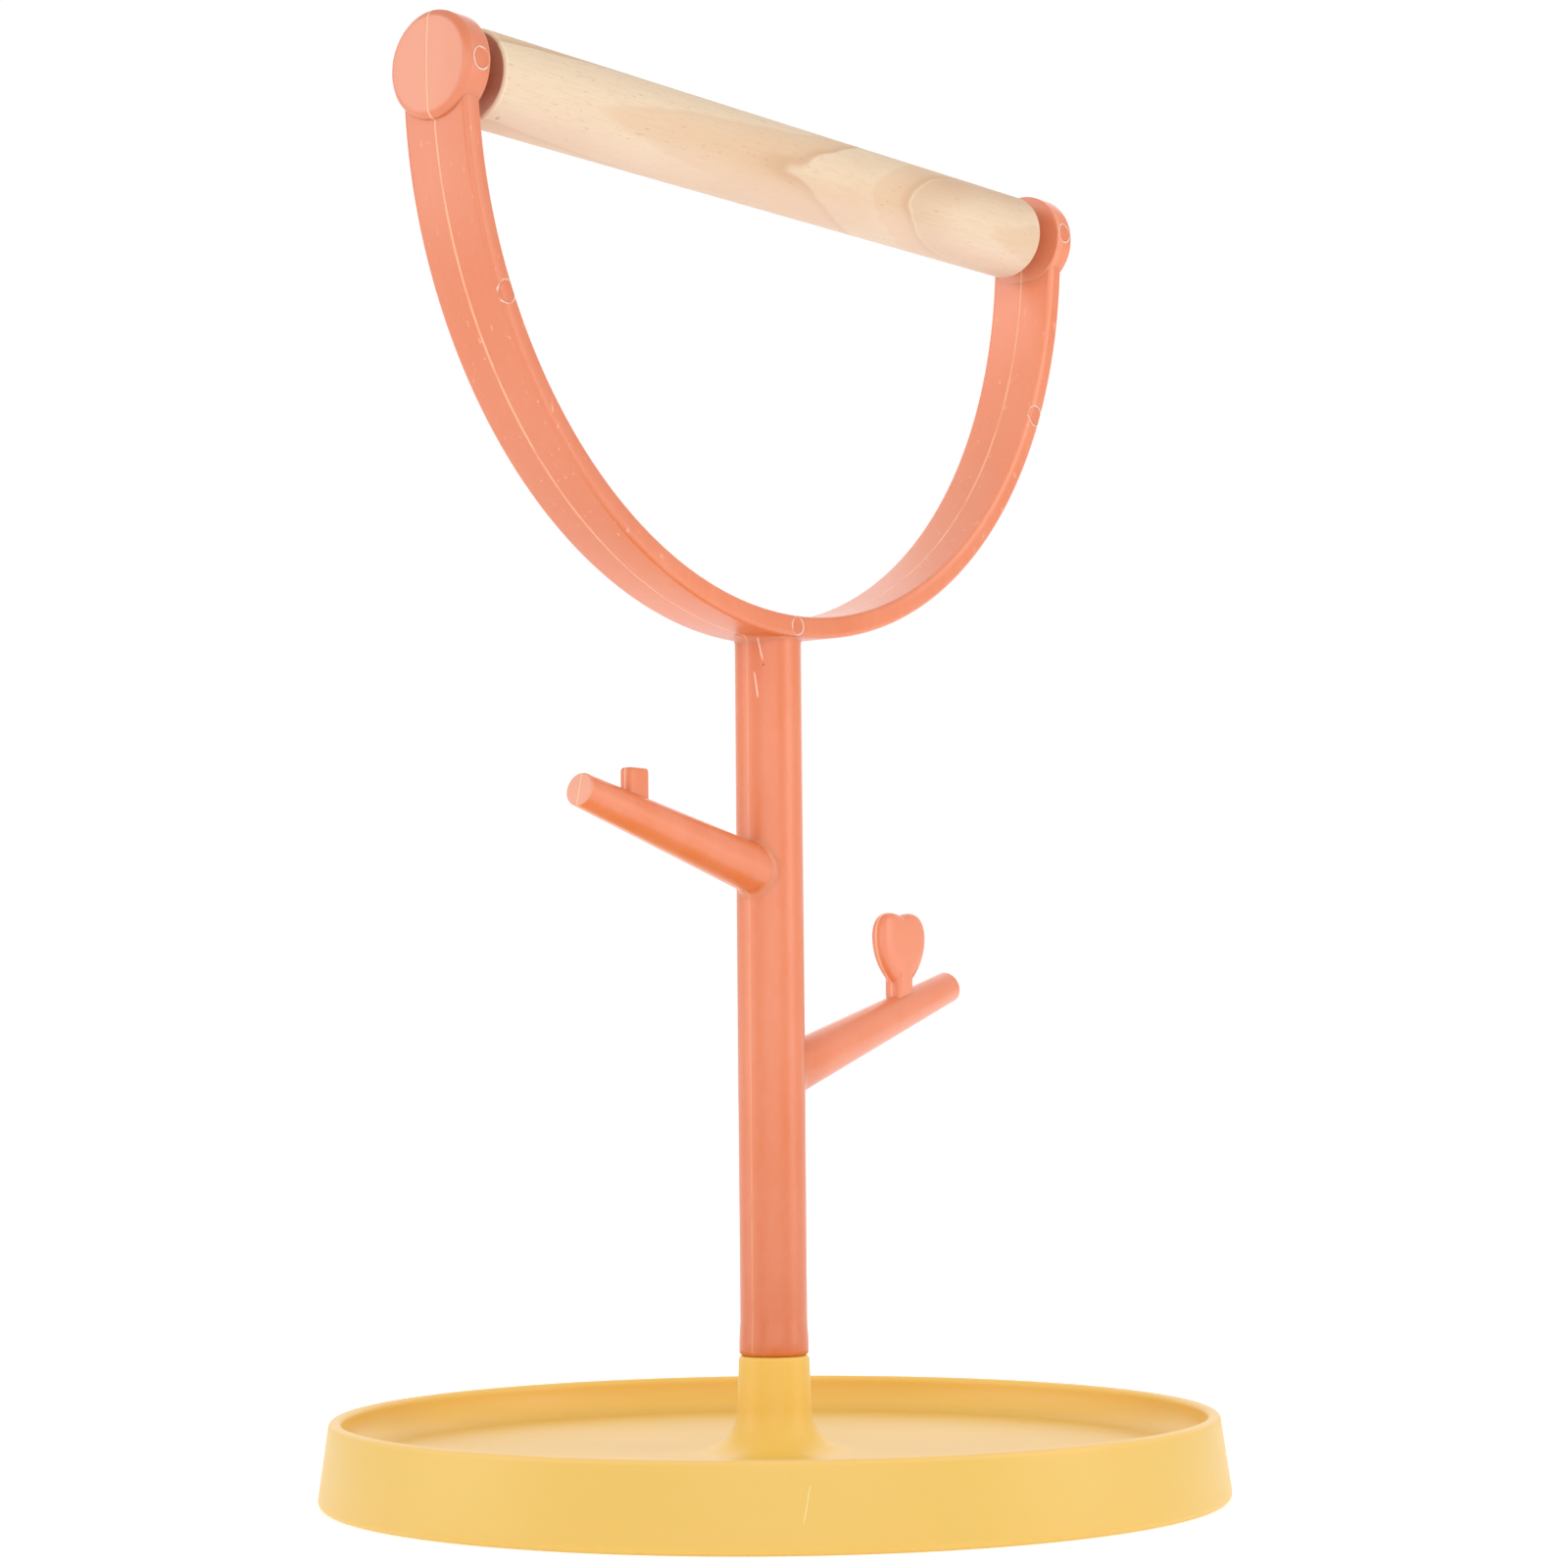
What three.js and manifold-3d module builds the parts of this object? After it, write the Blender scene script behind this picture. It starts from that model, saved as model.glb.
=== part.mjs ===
// A desktop play stand for a small parrot, in millimetres, +Z up.
//
// A round moulded tray stands on the table. A one-piece plastic stem is keyed into the tray's central
// boss and held by one screw from below. The stem is a trunk with two branches, a flat twig, a heart on
// a stalk, and a semicircular yoke whose two heads carry a pine perch that turns on moulded spigots.
//
// The origin is the centre of the tray on the table. The stem is moulded in the XZ plane, and X runs
// along the perch.

import * as THREE from "three";
import { mergeVertices } from "three/addons/utils/BufferGeometryUtils.js";
import Module from "manifold-3d";

const wasm = await Module();
wasm.setup();

// ---------------------------------------------------------------- driving dimensions

// Tray
const trayRadius = 80;
const trayHeight = 14.5;
const trayDraft = 2; // how far the outer wall leans in by the rim
const trayWall = 2.2;
const footRound = 1.2;
const floorHeight = 8; // top face of the floor
const floorThickness = 2.2;
const coveRadius = 5;

// Boss in the middle of the tray
const bossHeight = 24.6;
const bossRadius = 6.25;
const bossDraft = 0.45;
const bossEdge = 0.7;
const flareRadius = 7.5;

// Ribs under the tray
const ribCount = 6;
const ribThickness = 1.4;
const ribLift = 2.5; // air between the ribs and the table
const ringRibRadius = 45;

// Keyed seat of the stem in the boss
const pegRadius = 3.6;
const pegLength = 12.7;
const pegFlat = 2.6; // from the axis to the key's flat
const seatClearance = 0.3;
const webThickness = 2.5; // plastic under the seat that the screw clamps

// Screw, washer and the well they sit in
const screwRadius = 1.25;
const screwLength = 13.6;
const screwPoint = 2;
const screwHeadRadius = 2.9;
const screwHeadHeight = 2;
const screwClearance = 0.55;
const pilotClearance = 0.3;
const driveWidth = 0.8;
const driveReach = 1.8;
const driveDepth = 1.1;
const washerRadius = 4.4;
const washerThickness = 0.8;
const wellClearance = 0.8;
const wellWall = 1.8;

// Trunk
const trunkRadius = 5.95;
const trunkFootRadius = 6.15;
const trunkFootHeight = 4;
const trunkFootEdge = 0.8;
const trunkCrownRadius = 6.6;
const trunkCrownHeight = 1.8;

// Yoke, heads and spigots
const perchHeight = 238;
const yokeRadius = 86.5;
const bandThickness = 3.9;
const bandDepth = 13.8;
const bandRound = 0.9;
const headRadius = 9;
const headProud = 1.4; // how far a head stands out of the band's outer face
const headInset = 0.4; // how far it stands in past the band's inner face
const headRound = 1.2;
const spigotRadius = 3.1;
const spigotEngagement = 5.3;
const spigotEdge = 0.6;

// Perch
const perchRadius = 8;
const perchEase = 0.6;
const leftGap = 4.7; // between the perch's end and the head
const rightGap = 4.7;
const boreClearance = 0.3;
const boreRelief = 1; // room past the spigot's tip

// Upper branch, towards -X
const upperRootHeight = 109;
const upperReach = 51.3;
const upperRise = 13;
const upperRootRadius = 4.6;

// Lower branch, towards +X
const lowerRootHeight = 73;
const lowerReach = 54;
const lowerRise = 17;
const lowerRootRadius = 4.7;

const branchTipRadius = 2.9;
const branchTipEdge = 0.5;

// Flat twig on the upper branch; the heart's stalk has the same thickness and corners
const twigWidth = 5.1;
const stalkWidth = 4.7;
const twigThickness = 2.6;
const twigCorner = 0.6;
const twigReach = 37;
const twigRise = 8; // from the branch's axis to the twig's top

// Heart
const heartReach = 38.5;
const heartRise = 5.1; // from the branch's axis to the heart's point
const heartWidth = 14.2;
const heartHeight = 13.6;
const heartEdge = 2.7; // thickness at the rim
const heartDome = 0.75; // how far each face swells

// Heart outline as shares of its half width and of its height
const heartFlank = 0.62;
const heartWaist = 0.4;
const heartWidest = 0.66;
const heartShoulder = 0.9;
const heartCrest = 1.07;
const heartNotch = 0.93;
const heartCentre = 0.58;

// Fineness of the round shapes
const traySteps = 72;
const trunkSteps = 28;
const headSteps = 32;
const yokeSteps = 96;
const branchSteps = 20;
const screwSteps = 16;
const arcSteps = 2;
const outlineSteps = 5;
const domeRings = 3;

const weldDistance = 1e-4;

// ---------------------------------------------------------------- derived places

const rimRadius = trayRadius - trayDraft;
const floorUnderside = floorHeight - floorThickness;
const bossFoot = bossRadius + bossDraft;
const seatFloor = bossHeight - pegLength - seatClearance;
const webUnderside = seatFloor - webThickness;
const wellRadius = washerRadius + wellClearance;
const wellOuterRadius = wellRadius + wellWall;
const screwHole = screwRadius + screwClearance;
const washerUnderside = webUnderside - washerThickness;
const screwTop = washerUnderside + screwLength;
const headInnerFace = yokeRadius - bandThickness - headInset;
const headThickness = headProud + bandThickness + headInset;
const spigotLength = rightGap + spigotEngagement;
const perchLeftEnd = leftGap - headInnerFace;
const perchLength = 2 * headInnerFace - leftGap - rightGap;
const boreRadius = spigotRadius + boreClearance;
const boreDepth = spigotLength + boreRelief;
const bandUnderside = perchHeight - yokeRadius;
const twigFoot = upperRootHeight + (upperRise * twigReach) / upperReach;
const stalkFoot = lowerRootHeight + (lowerRise * heartReach) / lowerReach;
const heartPoint = stalkFoot + heartRise;

// ---------------------------------------------------------------- solids and their joining

/** Corner numbers of the triangles that still have three different corners. */
function realTriangles(index) {
  const kept = [];
  for (let i = 0; i < index.length; i += 3) {
    const [a, b, c] = [index[i], index[i + 1], index[i + 2]];
    if (a !== b && b !== c && c !== a) kept.push(a, b, c);
  }
  return new Uint32Array(kept);
}

/** Turns a closed surface into a solid that can be joined and cut. */
function solid(geometry) {
  const bare = geometry.clone();
  bare.deleteAttribute("normal");
  bare.deleteAttribute("uv");
  const welded = mergeVertices(bare, weldDistance);
  const mesh = new wasm.Mesh({
    numProp: 3,
    vertProperties: welded.attributes.position.array,
    triVerts: realTriangles(welded.index.array),
  });
  return new wasm.Manifold(mesh);
}

/** Turns a solid back into a surface with flat-shaded faces. */
function surfaceOf(shape) {
  const mesh = shape.getMesh();
  const geometry = new THREE.BufferGeometry();
  geometry.setAttribute("position", new THREE.BufferAttribute(mesh.vertProperties, mesh.numProp));
  geometry.setIndex(new THREE.BufferAttribute(mesh.triVerts, 1));
  const faceted = geometry.toNonIndexed();
  faceted.computeVertexNormals();
  return faceted;
}

const join = (shapes) => shapes.reduce((sum, shape) => sum.add(shape));

/** Points along an outline, without repeats where an arc meets a line. */
function outlinePoints(path) {
  const points = [];
  for (const point of path.getPoints(arcSteps)) {
    const last = points[points.length - 1];
    if (!last || last.distanceTo(point) > weldDistance) points.push(point);
  }
  return points;
}

/** Revolves an outline of (radius, height) points round the Z axis. */
function turned(path, steps) {
  return new THREE.LatheGeometry(outlinePoints(path), steps).rotateX(Math.PI / 2);
}

/** A plain round bar that stands on the Z axis. */
function bar(radius, bottom, top, steps) {
  const path = new THREE.Path();
  path.moveTo(0, bottom);
  path.lineTo(radius, bottom);
  path.lineTo(radius, top);
  path.lineTo(0, top);
  return solid(turned(path, steps));
}

/** A box between its low and its high corner. */
function block(low, high) {
  const size = new THREE.Vector3().subVectors(high, low);
  const middle = new THREE.Vector3().addVectors(low, high).multiplyScalar(0.5);
  return new THREE.BoxGeometry(size.x, size.y, size.z).translate(middle.x, middle.y, middle.z);
}

/** A rectangle with rounded corners, drawn anticlockwise round its centre. */
function roundedRectangle(width, height, corner, centre = new THREE.Vector2()) {
  const right = width / 2 - corner;
  const top = height / 2 - corner;
  const shape = new THREE.Shape();
  shape.moveTo(centre.x - right, centre.y - height / 2);
  shape.lineTo(centre.x + right, centre.y - height / 2);
  shape.absarc(centre.x + right, centre.y - top, corner, -Math.PI / 2, 0);
  shape.absarc(centre.x + right, centre.y + top, corner, 0, Math.PI / 2);
  shape.absarc(centre.x - right, centre.y + top, corner, Math.PI / 2, Math.PI);
  shape.absarc(centre.x - right, centre.y - top, corner, Math.PI, 1.5 * Math.PI);
  return shape;
}

// ---------------------------------------------------------------- tray

/** The tray's wall, floor, boss and screw well as one revolved shell. */
function trayShell() {
  const lean = Math.atan2(trayDraft, trayHeight);
  const rimRound = trayWall / 2;
  const innerWall = rimRadius - trayWall;
  const skirt = trayRadius - trayWall;
  const skirtTop = skirt - (trayDraft * floorUnderside) / trayHeight;
  const flareX = bossFoot + flareRadius;
  const flareZ = floorHeight + flareRadius;
  const underRadius = flareRadius + floorThickness;
  const underStart = Math.acos((flareX - wellOuterRadius) / underRadius);
  const path = new THREE.Path();
  path.moveTo(skirt, 0);
  path.lineTo(trayRadius - footRound, 0);
  path.absarc(trayRadius - footRound, footRound, footRound, -Math.PI / 2, lean);
  path.absarc(rimRadius - rimRound, trayHeight - rimRound, rimRound, lean, Math.PI);
  path.absarc(innerWall - coveRadius, floorHeight + coveRadius, coveRadius, 0, -Math.PI / 2, true);
  path.absarc(flareX, flareZ, flareRadius, 1.5 * Math.PI, Math.PI, true);
  path.absarc(bossRadius - bossEdge, bossHeight - bossEdge, bossEdge, 0, Math.PI / 2);
  path.lineTo(0, bossHeight);
  path.lineTo(0, webUnderside);
  path.lineTo(wellRadius, webUnderside);
  path.lineTo(wellRadius, ribLift);
  path.lineTo(wellOuterRadius, ribLift);
  path.absarc(flareX, flareZ, underRadius, Math.PI + underStart, 1.5 * Math.PI);
  path.lineTo(skirtTop - floorThickness, floorUnderside);
  path.lineTo(skirtTop, floorUnderside - floorThickness);
  path.lineTo(skirt, 0);
  return solid(turned(path, traySteps));
}

/** One straight rib under the floor, from the screw well out to the wall. */
function radialRib(angle) {
  const inner = wellOuterRadius - wellWall / 2;
  const outer = rimRadius - trayWall;
  const low = new THREE.Vector3(inner, -ribThickness / 2, ribLift);
  const high = new THREE.Vector3(outer, ribThickness / 2, floorHeight - floorThickness / 2);
  return solid(block(low, high).rotateZ(angle));
}

/** The ring-shaped rib that ties the straight ribs together. */
function ringRib() {
  const top = floorHeight - floorThickness / 2;
  const inner = ringRibRadius - ribThickness / 2;
  const outer = ringRibRadius + ribThickness / 2;
  const path = new THREE.Path();
  path.moveTo(inner, ribLift);
  path.lineTo(outer, ribLift);
  path.lineTo(outer, top);
  path.lineTo(inner, top);
  path.lineTo(inner, ribLift);
  return solid(turned(path, traySteps));
}

/** A round bar with one flat: the stem's peg, or its seat when grown by a clearance. */
function keyedBar(clearance, bottom, top) {
  const radius = pegRadius + clearance;
  const low = new THREE.Vector3(pegFlat + clearance, -2 * radius, bottom - radius);
  const high = new THREE.Vector3(2 * radius, 2 * radius, top + radius);
  return bar(radius, bottom, top, trunkSteps).subtract(solid(block(low, high)));
}

function tray() {
  const ribs = [];
  for (let i = 0; i < ribCount; i += 1) {
    ribs.push(radialRib((2 * Math.PI * i) / ribCount));
  }
  const seat = keyedBar(seatClearance, seatFloor, bossHeight + bossEdge);
  const passage = bar(screwHole, ribLift, bossHeight, screwSteps);
  return join([trayShell(), ringRib(), ...ribs]).subtract(seat).subtract(passage);
}

// ---------------------------------------------------------------- stem

/** The upright trunk, with a slightly spread foot on the boss and a crown under the yoke. */
function trunk() {
  const edge = trunkFootEdge;
  const top = bandUnderside + bandThickness / 2;
  const path = new THREE.Path();
  path.moveTo(0, bossHeight);
  path.lineTo(trunkFootRadius - edge, bossHeight);
  path.absarc(trunkFootRadius - edge, bossHeight + edge, edge, -Math.PI / 2, 0);
  path.lineTo(trunkRadius, bossHeight + trunkFootHeight);
  path.lineTo(trunkRadius, bandUnderside - trunkCrownHeight);
  path.lineTo(trunkCrownRadius, bandUnderside);
  path.lineTo(trunkCrownRadius, top);
  path.lineTo(0, top);
  return solid(turned(path, trunkSteps));
}

/** A branch that tapers from the trunk's axis to a flat tip; side is -1 or 1 along X. */
function branch(side, rootHeight, reach, rise, rootRadius) {
  const length = Math.hypot(reach, rise);
  const path = new THREE.Path();
  path.moveTo(0, 0);
  path.lineTo(rootRadius, 0);
  path.lineTo(branchTipRadius, length - branchTipEdge);
  path.lineTo(branchTipRadius - branchTipEdge, length);
  path.lineTo(0, length);
  const cone = turned(path, branchSteps).rotateY(side * Math.atan2(reach, rise));
  return solid(cone.translate(0, 0, rootHeight));
}

/** A flat upright bar with rounded edges that grows out of a branch. */
function twig(x, bottom, top, width) {
  const shape = roundedRectangle(width, twigThickness, twigCorner);
  const edge = twigCorner / 2;
  const upright = new THREE.ExtrudeGeometry(shape, {
    depth: top - bottom - edge,
    curveSegments: arcSteps,
    bevelThickness: edge,
    bevelSize: edge,
    bevelOffset: -edge,
    bevelSegments: 1,
  });
  return solid(upright.translate(x, 0, bottom));
}

/** The heart's outline, anticlockwise, with its point at the origin. */
function heartOutline() {
  const half = heartWidth / 2;
  const flank = half * heartFlank;
  const outline = new THREE.Shape();
  const curve = (x1, z1, x2, z2, x, z) => {
    const height = heartHeight;
    outline.bezierCurveTo(x1, z1 * height, x2, z2 * height, x, z * height);
  };
  outline.moveTo(0, 0);
  curve(flank, 0, half, heartWaist, half, heartWidest);
  curve(half, heartShoulder, flank, heartCrest, 0, heartNotch);
  curve(-flank, heartCrest, -half, heartShoulder, -half, heartWidest);
  curve(-half, heartWaist, -flank, 0, 0, 0);
  return outline;
}

/** Rings of a cushion from its front face to its back: each has a scale and a depth. */
function cushionRings() {
  const back = [];
  for (let i = 0; i < domeRings; i += 1) {
    const angle = (i * Math.PI) / (2 * domeRings);
    back.push({ scale: Math.cos(angle), depth: heartEdge / 2 + heartDome * Math.sin(angle) });
  }
  const front = back.map((ring) => ({ scale: ring.scale, depth: -ring.depth })).reverse();
  return [...front, ...back];
}

/** The heart as a cushion: a straight rim, and two faces that swell towards the middle. */
function heartCushion() {
  const rim = heartOutline().getPoints(outlineSteps).slice(0, -1);
  const rings = cushionRings();
  const middle = new THREE.Vector2(0, heartHeight * heartCentre);
  const peak = heartEdge / 2 + heartDome;
  const positions = [];
  for (const ring of rings) {
    for (const point of rim) {
      const place = middle.clone().lerp(point, ring.scale);
      positions.push(place.x, ring.depth, place.y);
    }
  }
  positions.push(middle.x, -peak, middle.y, middle.x, peak, middle.y);
  const count = rim.length;
  const frontPeak = count * rings.length;
  const lastRing = frontPeak - count;
  const faces = [];
  for (let j = 0; j < count; j += 1) {
    const next = (j + 1) % count;
    faces.push(frontPeak, j, next, frontPeak + 1, lastRing + next, lastRing + j);
    for (let here = 0; here < lastRing; here += count) {
      const there = here + count;
      faces.push(here + j, there + j, there + next, here + j, there + next, here + next);
    }
  }
  const geometry = new THREE.BufferGeometry();
  geometry.setAttribute("position", new THREE.Float32BufferAttribute(positions, 3));
  geometry.setIndex(faces);
  return solid(geometry.translate(heartReach, 0, heartPoint));
}

/** The semicircular band that hangs from the two heads. */
function yokeBand() {
  const middle = new THREE.Vector2(yokeRadius - bandThickness / 2, 0);
  const section = roundedRectangle(bandThickness, bandDepth, bandRound, middle);
  const ring = turned(section, yokeSteps).rotateX(Math.PI / 2).translate(0, 0, perchHeight);
  const low = new THREE.Vector3(-2 * yokeRadius, -bandDepth, perchHeight - 2 * yokeRadius);
  const high = new THREE.Vector3(2 * yokeRadius, bandDepth, perchHeight);
  return solid(ring).intersect(solid(block(low, high)));
}

/** A head with the spigot that the perch turns on; side is -1 or 1 along X. */
function head(side) {
  const outerCorner = headThickness - headRound;
  const path = new THREE.Path();
  path.moveTo(0, -spigotLength);
  path.lineTo(spigotRadius - spigotEdge, -spigotLength);
  path.lineTo(spigotRadius, spigotEdge - spigotLength);
  path.lineTo(spigotRadius, 0);
  path.absarc(headRadius - headInset, headInset, headInset, -Math.PI / 2, 0);
  path.absarc(headRadius - headRound, outerCorner, headRound, 0, Math.PI / 2);
  path.lineTo(0, headThickness);
  const upright = turned(path, headSteps).rotateY((side * Math.PI) / 2);
  return solid(upright.translate(side * headInnerFace, 0, perchHeight));
}

function stem() {
  const pegBottom = bossHeight - pegLength;
  const body = join([
    trunk(),
    keyedBar(0, pegBottom, bossHeight + trunkFootEdge),
    branch(-1, upperRootHeight, upperReach, upperRise, upperRootRadius),
    branch(1, lowerRootHeight, lowerReach, lowerRise, lowerRootRadius),
    twig(-twigReach, twigFoot, twigFoot + twigRise, twigWidth),
    twig(heartReach, stalkFoot, heartPoint + heartHeight / 4, stalkWidth),
    heartCushion(),
    yokeBand(),
    head(-1),
    head(1),
  ]);
  const pilotRadius = screwRadius + pilotClearance;
  return body.subtract(bar(pilotRadius, pegBottom - pegRadius, screwTop + pilotClearance, screwSteps));
}

// ---------------------------------------------------------------- perch, screw and washer

/** The pine dowel, with eased ends and a blind bore in each end. */
function perch() {
  const ease = perchEase;
  const path = new THREE.Path();
  path.moveTo(0, boreDepth);
  path.lineTo(boreRadius, boreDepth);
  path.lineTo(boreRadius, 0);
  path.absarc(perchRadius - ease, ease, ease, -Math.PI / 2, 0);
  path.absarc(perchRadius - ease, perchLength - ease, ease, 0, Math.PI / 2);
  path.lineTo(boreRadius, perchLength);
  path.lineTo(boreRadius, perchLength - boreDepth);
  path.lineTo(0, perchLength - boreDepth);
  const upright = turned(path, headSteps).rotateY(Math.PI / 2);
  return solid(upright.translate(perchLeftEnd, 0, perchHeight));
}

/** One bar of the cross-shaped drive recess. */
function driveSlot(reachX, reachY, bottom) {
  const low = new THREE.Vector3(-reachX, -reachY, bottom - driveDepth);
  const high = new THREE.Vector3(reachX, reachY, bottom + driveDepth);
  return solid(block(low, high));
}

/** A pan-head screw that points up, drawn without its thread. */
function stemScrew() {
  const bottom = washerUnderside - screwHeadHeight;
  const path = new THREE.Path();
  path.moveTo(0, bottom);
  path.lineTo(screwHeadRadius - screwHeadHeight / 2, bottom);
  path.lineTo(screwHeadRadius, bottom + screwHeadHeight / 2);
  path.lineTo(screwHeadRadius, washerUnderside);
  path.lineTo(screwRadius, washerUnderside);
  path.lineTo(screwRadius, screwTop - screwPoint);
  path.lineTo(0, screwTop);
  const across = driveSlot(driveReach, driveWidth / 2, bottom);
  const along = driveSlot(driveWidth / 2, driveReach, bottom);
  return solid(turned(path, screwSteps)).subtract(across).subtract(along);
}

function screwWasher() {
  const path = new THREE.Path();
  path.moveTo(screwHole, washerUnderside);
  path.lineTo(washerRadius, washerUnderside);
  path.lineTo(washerRadius, webUnderside);
  path.lineTo(screwHole, webUnderside);
  path.lineTo(screwHole, washerUnderside);
  return solid(turned(path, trunkSteps));
}

// ---------------------------------------------------------------- assembly

const finishes = {
  yellowPlastic: { color: 0xf4c35b, roughness: 0.45, metalness: 0 },
  coralPlastic: { color: 0xf08a66, roughness: 0.42, metalness: 0 },
  pine: { color: 0xe8cda4, roughness: 0.7, metalness: 0 },
  zincPlate: { color: 0xc4c8cc, roughness: 0.35, metalness: 1 },
};

function piece(name, shape, finish) {
  const mesh = new THREE.Mesh(surfaceOf(shape), new THREE.MeshStandardMaterial(finish));
  mesh.name = name;
  return mesh;
}

const stand = new THREE.Group();
stand.name = "parrot_play_stand";
stand.add(piece("tray", tray(), finishes.yellowPlastic));
stand.add(piece("stem", stem(), finishes.coralPlastic));
stand.add(piece("perch_dowel", perch(), finishes.pine));
stand.add(piece("stem_screw", stemScrew(), finishes.zincPlate));
stand.add(piece("screw_washer", screwWasher(), finishes.zincPlate));

export default stand;
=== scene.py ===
# %% [markdown]
# # A desktop play stand for a small parrot
# The stand has three visible pieces: a yellow moulded tray, a coral moulded stem that ends in a
# semicircular yoke, and a pine dowel that turns between the yoke's two heads. A screw and a washer
# under the tray hold the stem. The engineering model gives every place and size, so this script only
# adds what a camera sees: rounded edges, blends, the marks of the mould, and the finishes.

# %% Load the engineering model
import math

import bmesh
import bpy
from mathutils import Matrix, Vector


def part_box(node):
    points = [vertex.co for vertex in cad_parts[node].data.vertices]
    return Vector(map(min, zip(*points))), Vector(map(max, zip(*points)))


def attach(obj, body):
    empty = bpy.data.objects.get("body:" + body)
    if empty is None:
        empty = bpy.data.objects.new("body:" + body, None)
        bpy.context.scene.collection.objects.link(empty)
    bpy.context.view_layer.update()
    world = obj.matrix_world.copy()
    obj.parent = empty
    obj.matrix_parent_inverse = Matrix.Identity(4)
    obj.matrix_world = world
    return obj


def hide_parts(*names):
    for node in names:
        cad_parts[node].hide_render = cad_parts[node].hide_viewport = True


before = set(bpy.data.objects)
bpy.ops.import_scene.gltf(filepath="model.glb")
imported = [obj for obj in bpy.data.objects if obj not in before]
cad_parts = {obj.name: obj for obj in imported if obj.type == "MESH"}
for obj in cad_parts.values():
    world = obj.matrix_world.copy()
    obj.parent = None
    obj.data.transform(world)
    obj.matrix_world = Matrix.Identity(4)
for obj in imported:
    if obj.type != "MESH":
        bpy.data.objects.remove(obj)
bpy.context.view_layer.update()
for node in sorted(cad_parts):
    low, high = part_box(node)
    print(node, "spans", [round((b - a) * 1000, 2) for a, b in zip(low, high)], "mm")

# %% [markdown]
# ## Measures
# All sizes below are millimetres, as they would be on a drawing, and are the engineering model's own.
# The helpers turn them into metres at the moment a vertex is made.

# %% Measures of the stand
MM = 0.001

PERCH_HEIGHT = 238.0
YOKE_RADIUS = 86.5
BAND_THICKNESS = 3.9
BAND_DEPTH = 13.8
HEAD_INNER_FACE = 82.2
HEAD_THICKNESS = 5.7
HEAD_RADIUS = 9.0
SPIGOT_RADIUS = 3.1
SPIGOT_LENGTH = 10.0

TRUNK_RADIUS = 5.95
TRUNK_FOOT = 24.6
TRUNK_TOP = PERCH_HEIGHT - YOKE_RADIUS

BRANCHES = {
    "upper": {"side": -1, "root": 109.0, "reach": 51.3, "rise": 13.0, "radius": 4.6},
    "lower": {"side": 1, "root": 73.0, "reach": 54.0, "rise": 17.0, "radius": 4.7},
}
BRANCH_TIP_RADIUS = 2.9


def branch_axis(spec):
    """The unit vector along a branch and its length."""
    axis = Vector((spec["side"] * spec["reach"], 0, spec["rise"]))
    return axis.normalized(), axis.length


# %% [markdown]
# ## Modelling helpers
# Most of this object is turned: the tray, the trunk, the heads and the dowel all have one axis. The
# natural tool is Spin, which sweeps an outline round that axis. An outline is typed as its sharp
# corners with a rounding for each, exactly as a mould maker dimensions it, and `rounded` replaces
# each corner by the arc that touches both of its sides.

# %% Outlines with rounded corners
def rounded(corners, closed=False, segments=5):
    """Points of an outline whose corners are (across, up) or (across, up, rounding)."""
    sharp = [Vector(corner[:2]) for corner in corners]
    points = []
    for i, corner in enumerate(corners):
        radius = corner[2] if len(corner) > 2 else 0
        is_end = not closed and i in (0, len(corners) - 1)
        if radius == 0 or is_end:
            points.append(sharp[i])
            continue
        back = (sharp[i - 1] - sharp[i]).normalized()
        ahead = (sharp[(i + 1) % len(sharp)] - sharp[i]).normalized()
        half = back.angle(ahead) / 2
        centre = sharp[i] + (back + ahead).normalized() * (radius / math.sin(half))
        start = sharp[i] + back * (radius / math.tan(half)) - centre
        end = sharp[i] + ahead * (radius / math.tan(half)) - centre
        swing = math.pi - 2 * half
        for step in range(segments + 1):
            part = step / segments
            share_start = math.sin((1 - part) * swing) / math.sin(swing)
            share_end = math.sin(part * swing) / math.sin(swing)
            points.append(centre + start * share_start + end * share_end)
    return points


# %% Spinning an outline
def turned(outline, steps, place=None, closed=False):
    """Spins an outline of (distance from the axis, place along it) once round the Z axis."""
    form = bmesh.new()
    verts = [form.verts.new((x * MM, 0, z * MM)) for x, z in outline]
    pairs = list(zip(verts, verts[1:] + verts[:1]))
    edges = [form.edges.new(pair) for pair in (pairs if closed else pairs[:-1])]
    bmesh.ops.spin(
        form,
        geom=verts + edges,
        cent=(0, 0, 0),
        axis=(0, 0, 1),
        angle=2 * math.pi,
        steps=steps,
        use_merge=True,
    )
    bmesh.ops.remove_doubles(form, verts=form.verts, dist=1e-7)
    bmesh.ops.recalc_face_normals(form, faces=form.faces)
    if place:
        bmesh.ops.transform(form, matrix=place, verts=form.verts)
    return form


def along_x(side, x, z):
    """The place of a turned form whose axis points outwards along X, on the side -1 or 1."""
    lift = Matrix.Translation((side * x * MM, 0, z * MM))
    return lift @ Matrix.Rotation(side * math.pi / 2, 4, "Y")


# %% [markdown]
# A moulding is one piece even where it is made of several simple forms, so `gather` puts the forms
# into one mesh. Shade Smooth with a sharp-edge angle keeps the rounded edges soft and the real
# corners crisp.

# %% Gathering forms into a piece
SHARP_ANGLE = math.radians(40)


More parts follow.
